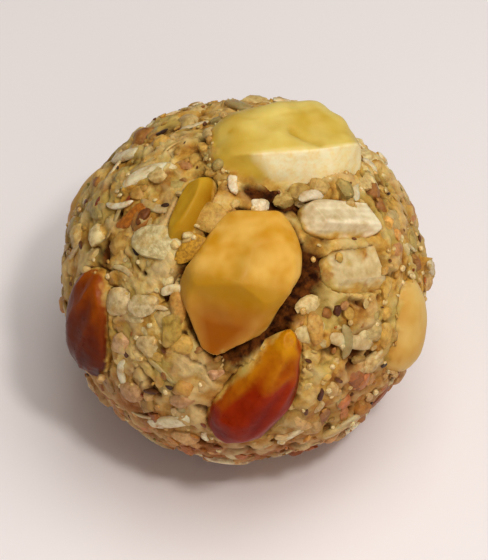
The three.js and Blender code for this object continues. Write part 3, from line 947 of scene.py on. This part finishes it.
def normals_of(piece):
    normals = np.empty(len(piece.data.vertices) * 3, np.float32)
    piece.data.vertex_normals.foreach_get("vector", normals)
    return normals.reshape(-1, 3).astype(float)


def own_axes(points):
    """Directions along, across and out of the ball for a piece, from its own points."""
    middle = points.mean(axis=0)
    out = (middle - ball_middle) / np.linalg.norm(middle - ball_middle)
    spread = points - middle
    spread -= np.outer(spread @ out, out)
    along = np.linalg.svd(spread, full_matrices=False)[2][0]
    along *= np.sign(along[2])
    return np.array((along, np.cross(out, along), out))


def own_places(points, axes):
    """Where each point lies along, across and out of its piece, from -1 to 1."""
    local = points @ axes.T
    low, high = local.min(axis=0), local.max(axis=0)
    return (2 * local - low - high) / (high - low)


def stretched(points, axes, across, along):
    """Noise drawn out along a piece, as its fibres or wrinkles are."""
    return soft_noise((points @ axes.T) * (across / along, 1, 1), across)


def move_points(piece, points):
    piece.data.vertices.foreach_set("co", points.astype(np.float32).ravel())
    piece.data.update()


def break_flat(piece, breaks):
    """Planes off what lies beyond each flat break, with both counted in shares of the piece's size."""
    points = points_of(piece)
    axes = own_axes(points)
    places = own_places(points, axes)
    half_sizes = np.ptp(points @ axes.T, axis=0) / 2
    for *lean, reach in breaks:
        lean = np.array(lean) / np.linalg.norm(lean)
        beyond = np.maximum(places @ lean - reach, 0)
        places = places - np.outer(beyond, lean)
    shift = places - own_places(points, axes)
    move_points(piece, points + (shift * half_sizes) @ axes)


def over_ball(points):
    """How far points lie outside the ball's own curve."""
    away = points - ball_middle
    reach = np.linalg.norm(away, axis=1)
    return reach - true_reach(away / reach[:, None])


def dress(piece, name, height, covered=0):
    """Moves each point of a piece along its normal, smudges its rim with paste and puts it in place."""
    points, normals = points_of(piece), normals_of(piece)
    smudge = (RIM_HEIGHT - over_ball(points)) / MM + relief(points, SMUDGE_PATCHES) + covered
    smudge = np.clip(smudge, 0, 0.5) * 2
    points += normals * (height + SMUDGE_RISE * smudge)[:, None]
    move_points(piece, points)
    note(piece, "smudge", smudge)
    dressed[name] = points, normals, smudge
    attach(piece, "root")
    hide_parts(name)


def smudged(finish, colour):
    """A piece's own colour, under paste where it is smudged with it."""
    return blend_colours(finish, kept(finish, "smudge"), colour, paste_colour(finish))


def cashew_finish(name, amber, gold, pale):
    """Roasted cashew: gold going over to amber where it is roasted most and where shade is painted, and paler
    where it broke.
    """
    finish, shader = food_finish(
        name, patches=2 * MM, rough=(0.3, 0.52), pores=0.4 * MM, pore_depth=0.03 * MM,
        Specular_IOR_Level=0.1, Subsurface_Weight=0.12, Subsurface_Scale=1.2 * MM)
    even = tones(finish, grain(finish, 4 * MM, detail=2), ((0.3, gold), (0.75, pale)))
    roasted = blend_colours(finish, kept(finish, "roast"), even, paint(*amber))
    seam_shaded = blend_colours(finish, kept(finish, "seam"), roasted, paint(*SEAM_SHADE_TONE))
    crumbly = tones(finish, grain(finish, 0.9 * MM), CUT_TONES)
    clean = blend_colours(finish, kept(finish, "cut"), seam_shaded, crumbly)
    colour_by(finish, shader, smudged(finish, clean))
    return finish


def front_half(form):
    """A ridge across its middle, pale above it and roasted below it, partly with painted shade, with painted
    shade in a seam to each side and a painted highlight along the lower rim.
    """
    below_ridge = -form.along - 0.1 * form.across
    on_face = fade(form.normals @ form.axes[2], 0.2, 0.5)
    form.height += RIDGE_RISE * np.exp(-np.abs(below_ridge) / 0.1) * np.clip(form.out * 2, 0, 1)
    to_side = np.maximum(np.abs(form.across) - 0.75 * form.along, 0) / 1.25
    # Painted highlight where the lower rim rounds over
    lower_rim_highlight = fade(to_side, 0.6, 0.85) * np.clip(3 * below_ridge, 0, 1)
    # Below the ridge the facet faces down: roast with painted shade
    roast = np.clip(0.2 + 1.5 * below_ridge + 0.2 * soft_noise(form.points, 3 * MM), 0, 1)
    form.roast = on_face * (roast - 0.45 * lower_rim_highlight)
    # Painted shade in the valleys where the facets meet, above and below the ridge
    from_seam = form.across + 0.15 * np.clip(form.along, 0, 1) + 0.1 * soft_noise(form.points, 4 * MM)
    upper_seam_shade = near(from_seam, 0.2) * np.clip(1 - 1.2 * form.along, 0, 1) * (below_ridge < 0)
    lower_seam_shade = near(below_ridge - 0.14, 0.22)
    form.seam = 0.7 * on_face * np.maximum(upper_seam_shade, lower_seam_shade)
    form.covered -= 0.7


def narrow_strip(form):
    """Roasted most along one side, and smudged with paste where it lies low."""
    patches = 0.2 * soft_noise(form.points, 2 * MM)
    form.roast = np.clip(0.3 - 0.2 * form.out - 0.7 * form.across + patches, 0, 1)
    form.covered += 0.1 - 0.4 * form.out


def broken_top(form):
    """Broken off in front and at its right end, with a crease, a bump and a dent in its skin, painted shade
    in the crease and the dent and painted light on the bump.
    """
    from_middle = form.points - form.points.mean(axis=0)
    on_skin = from_middle[:, :2]
    to_right = from_middle[:, 0] + 1.2 * MM * soft_noise(form.points, 2.5 * MM)
    in_cut = to_right + 0.7 * from_middle[:, 2] + 1.2 * MM
    front_cut = fade(form.normals @ TOP_CUT_WAY, 0.78, 0.92) * fade(in_cut, 0, 2.2 * MM)
    form.cut = np.maximum(front_cut, 0.7 * fade(form.normals @ TOP_END_WAY, 0.72, 0.86))
    crease = near(from_line(on_skin, *TOP_CREASE), 0.6 * MM) * (form.out > 0.2)
    bump = near(np.linalg.norm(on_skin - TOP_BUMP, axis=1), 1.8 * MM) * (form.out > 0.2)
    dent_right, dent_back = (on_skin - TOP_DENT).T
    dent = near(dent_right, 4 * MM) * near(dent_back, 2 * MM) * np.clip(form.out * 3, 0, 1)
    form.height += 0.4 * MM * soft_noise(form.points, 3 * MM) * (1 - form.cut)
    form.height += MM * (0.7 * bump - 0.7 * dent - 0.5 * crease)
    # Painted shade in the crease and the dent and painted light on the bump
    form.roast += 0.5 * dent + 0.5 * crease - 0.15 * bump + 0.4 * soft_noise(form.points, 2.2 * MM)
    form.roast += 0.5 * fade(-to_right, 1 * MM, 5 * MM)
    form.covered += 1.5 * np.clip((-4 * MM - to_right) / (3 * MM), 0, 1.2) - 4 * form.cut


def blotched_end(form):
    """Roasted in blotches."""
    form.roast += 0.5 * soft_noise(form.points, 3.5 * MM)


def whole_kernel(form):
    """Roasted in larger blotches, and darker where it stands out least, beside the paste, partly with painted
    shade.
    """
    form.roast += np.clip(0.15 + 0.5 * soft_noise(form.points, 5 * MM), 0, 0.5) - 0.15 * form.out


def grooved_half(form):
    """Roasted like the whole kernel, with a curved groove along its flat side, darkened with painted shade.
    """
    whole_kernel(form)
    from_groove = form.across - 0.35 * form.along ** 2 + 0.12 + 0.08 * soft_noise(form.points, 3 * MM)
    groove = near(from_groove, 0.13) * np.clip(2 * form.out, 0, 1)
    groove *= np.clip(3 - 3.4 * np.abs(form.along), 0, 1)
    form.height -= GROOVE_DEPTH * groove
    form.seam = 0.55 * groove


CASHEW_FORMS = {
    "cashew_front": front_half,
    "cashew_sliver": narrow_strip,
    "cashew_top": broken_top,
    "cashew_right": blotched_end,
    "cashew_back": whole_kernel,
    "cashew_half": grooved_half,
}

dressed = {}
for name, shape_form in CASHEW_FORMS.items():
    cashew = smooth_copy(name, CRISP_FROM.get(name))
    break_flat(cashew, CASHEW_BREAKS.get(name, ()))
    points = points_of(cashew)
    form = SimpleNamespace(points=points, normals=normals_of(cashew), axes=own_axes(points))
    form.along, form.across, form.out = own_places(points, form.axes).T
    lines = stretched(points, form.axes, *CASHEW_LINES)
    form.height = SWELL + relief(points, CASHEW_DENTS)
    # Amber towards the rim, where it sinks into the paste, partly its roast and partly painted shade, and in
    # the grooves between its lines
    form.roast = np.clip(0.35 - 0.5 * form.out, 0, 0.8) + np.clip(-0.3 - lines, 0, 0.3)
    form.cut, form.covered, form.seam = np.zeros((3, len(points)))
    shape_form(form)
    note(cashew, "roast", np.clip(form.roast, 0, 1))
    note(cashew, "cut", form.cut)
    note(cashew, "seam", form.seam)
    cashew.data.materials.append(cashew_finish("roasted " + name, *CASHEW_TONES[name]))
    dress(cashew, name, form.height + LINE_RISE * lines * (1 - form.cut), form.covered)

# Raisins: grapes dried to a leathery skin, plumped again by the warm ghee.
# The skin is folded into wrinkles along the fruit, dark in the folds and amber where it is stretched thin,
# and painted lighter where its upper end faces up, where light from above falls on it.
WRINKLES, WRINKLE_RISE = (2.2 * MM, 8 * MM), 0.3 * MM
FINE_WRINKLES = ((0.7 * MM, 0.05 * MM),)
# Tones of each, in the folds, on the plain skin, and where it is thin or takes painted light from above
RAISIN_TONES = {
    "raisin_front": ((112, 14, 0), (154, 42, 0), (200, 134, 8)),
    "raisin_left": ((62, 12, 0), (112, 40, 0), (152, 72, 6)),
    "raisin_back": ((84, 10, 0), (142, 42, 0), (200, 112, 8)),
    "raisin_low": ((64, 10, 0), (120, 42, 2), (170, 86, 10)),
}


def ridged(points, axes, across, along):
    """Ridges drawn out along a piece, 1 at their crests."""
    return 1 - 2 * np.abs(stretched(points, axes, across, along))


for name, raisin_tones in RAISIN_TONES.items():
    raisin = smooth_copy(name)
    points, normals = points_of(raisin), normals_of(raisin)
    axes = own_axes(points)
    ridges = ridged(points, axes, *WRINKLES)
    # Painted light: the upper end is lighter where it faces up, toward the light
    painted_top_light = fade(normals[:, 2], -0.05, 0.85)
    upper_end = np.clip(0.6 + 0.5 * own_places(points, axes)[:, 0], 0, 1)
    note(raisin, "stretch_and_top_light", np.clip(0.12 + 0.22 * ridges + 0.75 * painted_top_light * upper_end, 0, 1))
    finish, shader = food_finish(
        "skin of " + name, patches=1.6 * MM, rough=(0.26, 0.44), pores=0.3 * MM, pore_depth=0.03 * MM,
        Specular_IOR_Level=0.1, Subsurface_Weight=0.2, Subsurface_Scale=1 * MM)
    skin = tones(finish, kept(finish, "stretch_and_top_light"), tuple(zip((0.1, 0.45, 0.9), raisin_tones)))
    colour_by(finish, shader, smudged(finish, mottled(finish, skin, 1.6 * MM, (226, 206, 190))))
    raisin.data.materials.append(finish)
    wrinkles = WRINKLE_RISE * (ridges - 0.7) + relief(points, FINE_WRINKLES)
    dress(raisin, name, SWELL + wrinkles)

# Almond: half of one, in its brown skin, pressed in with the skin outwards.
# The skin has fine furrows from end to end and is dusted with meal from the mass.
FURROWS, FURROW_RISE = (0.9 * MM, 14 * MM), 0.12 * MM
ALMOND_TONES = ((0.15, (92, 46, 18)), (0.5, (150, 82, 34)), (0.95, (186, 120, 58)))

almond = smooth_copy("almond_back")
points = points_of(almond)
furrows = ridged(points, own_axes(points), *FURROWS)
note(almond, "furrow", np.clip(0.5 + 0.4 * furrows, 0, 1))
almond_finish, almond_shader = food_finish(
    "almond skin", patches=1.2 * MM, rough=(0.5, 0.68), pores=0.3 * MM, pore_depth=0.05 * MM,
    Specular_IOR_Level=0.3)
skin = tones(almond_finish, kept(almond_finish, "furrow"), ALMOND_TONES)
dusty_skin = mottled(almond_finish, skin, 1.2 * MM, (190, 176, 160), dark=0.35, light=0.62)
colour_by(almond_finish, almond_shader, smudged(almond_finish, dusty_skin))
almond.data.materials.append(almond_finish)
dress(almond, "almond_back", SWELL + FURROW_RISE * (furrows - 0.7))

# Coconut slices: dry coconut cut by hand into short ivory sticks and chips.
# The cut edges are still crisp, and fibres run along each slice.
FIBRES, FIBRE_RISE = (0.55 * MM, 7 * MM), 0.05 * MM
SLICE_DENTS = ((3 * MM, 0.12 * MM),)
SLICE_CRISP_FROM = math.radians(40)
# Tones of each, in its fibres and between them
SLICE_TONES = {
    "coconut_front": ((206, 184, 138), (250, 236, 200)),
    "coconut_chip": ((208, 184, 130), (226, 204, 152)),
    "coconut_back": ((210, 188, 140), (240, 222, 180)),
}
# Flat cuts on every slice: their lean along, across and out of it, and how far out they lie
SLICE_CUTS = (
    (0, -0.2, 0.98, 0.68),
    (0, 0.75, 0.66, 0.78),
    (-0.96, -0.2, 0.2, 0.86),
    (0.9, 0.1, 0.4, 0.9),
)

for name, slice_tones in SLICE_TONES.items():
    slice_piece = smooth_copy(name, SLICE_CRISP_FROM)
    break_flat(slice_piece, SLICE_CUTS)
    points = points_of(slice_piece)
    axes = own_axes(points)
    fibres = stretched(points, axes, *FIBRES)
    cut_end = -own_places(points, axes)[:, 0]
    note(slice_piece, "fibre", np.clip(0.5 + 0.6 * fibres + 0.4 * cut_end, 0, 1))
    finish, shader = food_finish(
        "flesh of " + name, patches=1.5 * MM, rough=(0.34, 0.52), pores=0.3 * MM, pore_depth=0.04 * MM,
        Specular_IOR_Level=0.35, Subsurface_Weight=0.2, Subsurface_Scale=1 * MM)
    flesh = tones(finish, kept(finish, "fibre"), tuple(zip((0, 1), slice_tones)))
    colour_by(finish, shader, smudged(finish, mottled(finish, flesh, 1.5 * MM, (226, 214, 190))))
    slice_piece.data.materials.append(finish)
    height = SWELL + FIBRE_RISE * fibres + relief(points, SLICE_DENTS)
    dress(slice_piece, name, height, covered=-0.4)

# Clinging meal: bits of the mass that stick to the greasy dry fruit while the ball is rolled.
# They gather along the rims, and lie thickest on the left end of the cashew at the top.
CLING_COUNT = 12
CLING_COUNTS = {
    "cashew_top": 38,
    "cashew_sliver": 6,
    "cashew_front": 0,
    "raisin_front": 2,
    "raisin_left": 4,
    "coconut_front": 3,
    "coconut_chip": 4,
}
CLING_SIZE = (0.4 * MM, 1.8 * MM)
CLING_HALVES = (0.6, 0.45, 0.4)
CLING_LIFT = 0.1
# None clings lower than this over the ball's curve, and skin without a smudge has only this small chance
CLING_LOWEST = -0.2 * MM
BARE_CHANCE = 0.00001

cling_heap = new_heap()
for name, (points, normals, smudge) in dressed.items():
    likely = (smudge + BARE_CHANCE) * (over_ball(points) > CLING_LOWEST)
    count = CLING_COUNTS.get(name, CLING_COUNT)
    for i in chance.choice(len(points), count, p=likely / likely.sum()):
        across = sized(chance.random(), CLING_SIZE, small_bias=2)
        axes = seat(0, 0, 0) @ np.linalg.qr(chance.normal(size=(3, 3)))[0]
        local = broken(small_shape, chance, CHIP_BREAKS) * np.multiply(CLING_HALVES, across)
        place = points[i] + normals[i] * CLING_LIFT * across
        drop(cling_heap, place + local @ axes, small_faces, pick_tint(chance, NUT_TONES))
heap_piece("clinging_meal", cling_heap, nut_finish, MEAL_EDGE)

# The set: a pale floor, a large soft light above and to the right, a weaker one from the front right, a small
# lamp that gives the seeds their points of light, and a camera that looks down as steeply as the photo.
FLOOR_SIZE = 3
FLOOR_PATCH = 0.2
FLOOR_TONES = ((0.3, (244, 238, 238)), (0.7, (248, 242, 242)))
# Place and width of each light in metres, its power in watts and its colour
LIGHTS = {
    "overhead": ((0.11, -0.03, 0.5), 0.4, 1.55, (1, 0.97, 0.93)),
    "front": ((0.12, -0.48, 0.3), 0.5, 0.46, (1, 0.9, 0.84)),
    "lamp": ((0.12, -0.2, 0.45), 0.05, 0.7, (1, 0.96, 0.92)),
}
ROOM_COLOUR, ROOM_LIGHT = (1, 0.95, 0.9, 1), 0.16
VIEW_ELEVATION = math.radians(50)
VIEW_DISTANCE = 0.5
NEAREST_SEEN = 0.01
# The ladoo takes up this share of the picture's width
LADOO_SHARE = 0.75
IMAGE_WIDTH, IMAGE_HEIGHT = 488, 560

floor_corners = np.array(((-1, -1, 0), (1, -1, 0), (1, 1, 0), (-1, 1, 0))) * FLOOR_SIZE / 2
floor = mesh_piece("floor", floor_corners, [[0, 1, 2, 3]])
floor_finish, floor_shader = start_finish("pale floor", Roughness=0.5)
colour_by(floor_finish, floor_shader, tones(floor_finish, grain(floor_finish, FLOOR_PATCH), FLOOR_TONES))
floor.data.materials.append(floor_finish)

ladoo_middle = Vector(ball_middle)
for name, (place, width, power, colour) in LIGHTS.items():
    lamp = bpy.data.lights.new(name, "AREA")
    lamp.size, lamp.energy, lamp.color = width, power, colour
    light = bpy.data.objects.new(name, lamp)
    light.location = place
    light.rotation_euler = (ladoo_middle - light.location).to_track_quat("-Z", "Y").to_euler()
    bpy.context.scene.collection.objects.link(light)

world = bpy.data.worlds.new("room")
world.use_nodes = True
world.node_tree.nodes["Background"].inputs["Color"].default_value = ROOM_COLOUR
world.node_tree.nodes["Background"].inputs["Strength"].default_value = ROOM_LIGHT
bpy.context.scene.world = world
bpy.context.scene.view_settings.view_transform = "Standard"

lens = bpy.data.cameras.new("view")
camera = bpy.data.objects.new("view", lens)
toward = Vector((0, -math.cos(VIEW_ELEVATION), math.sin(VIEW_ELEVATION)))
camera.location = ladoo_middle + toward * VIEW_DISTANCE
camera.rotation_euler = toward.to_track_quat("Z", "Y").to_euler()
seen_height = BALL_WIDTH / LADOO_SHARE * IMAGE_HEIGHT / IMAGE_WIDTH
lens.lens = lens.sensor_width * VIEW_DISTANCE / seen_height
lens.clip_start = NEAREST_SEEN
bpy.context.scene.collection.objects.link(camera)
bpy.context.scene.camera = camera
